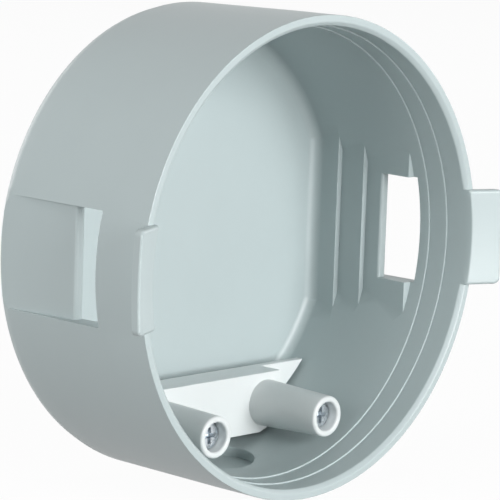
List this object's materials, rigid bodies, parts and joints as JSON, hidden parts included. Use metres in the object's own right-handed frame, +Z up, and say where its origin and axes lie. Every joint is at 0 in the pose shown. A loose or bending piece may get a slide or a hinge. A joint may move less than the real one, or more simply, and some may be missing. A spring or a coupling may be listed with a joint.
{
  "type": "flush back box",
  "caption": "Round shallow back box for flush mounting in a wall, with side windows, rim lugs, a cable knock-out and a screwed strain-relief clamp.",
  "frame": {"origin": "on the box's axis, in the plane of the rim", "axes": "+Y along the axis into the wall, so the open front faces -Y; +Z up; +X to the right as seen from the front"},
  "size_m": [0.0654, 0.0289, 0.06],
  "materials": {
    "box_plastic": "moulded light grey thermoplastic, fine satin",
    "clamp_plastic": "moulded off-white thermoplastic, fine satin",
    "screw_steel": "bright zinc plated"
  },
  "bodies": {
    "box": {"box": "box_plastic"},
    "clamp": {"cable_clamp": "clamp_plastic"},
    "left_screw": {"left_clamp_screw": "screw_steel"},
    "right_screw": {"right_clamp_screw": "screw_steel"}
  },
  "joints": [
    {"name": "clamp_slide", "type": "slide", "parent": "box", "child": "clamp", "axis": [0, -1, 0], "range_m": [0, 0.0033]},
    {"name": "left_screw_turn", "type": "hinge", "parent": "clamp", "child": "left_screw", "pos_m": [-0.0101, 0.01, -0.0221], "axis": [0, -1, 0], "range_deg": [0, 1080]},
    {"name": "right_screw_turn", "type": "hinge", "parent": "clamp", "child": "right_screw", "pos_m": [0.0101, 0.01, -0.0221], "axis": [0, -1, 0], "range_deg": [0, 1080]}
  ],
  "couplings": [
    {"joint": "left_screw_turn", "follows": "clamp_slide", "rad_per_m": 5712},
    {"joint": "right_screw_turn", "follows": "clamp_slide", "rad_per_m": 5712}
  ]
}
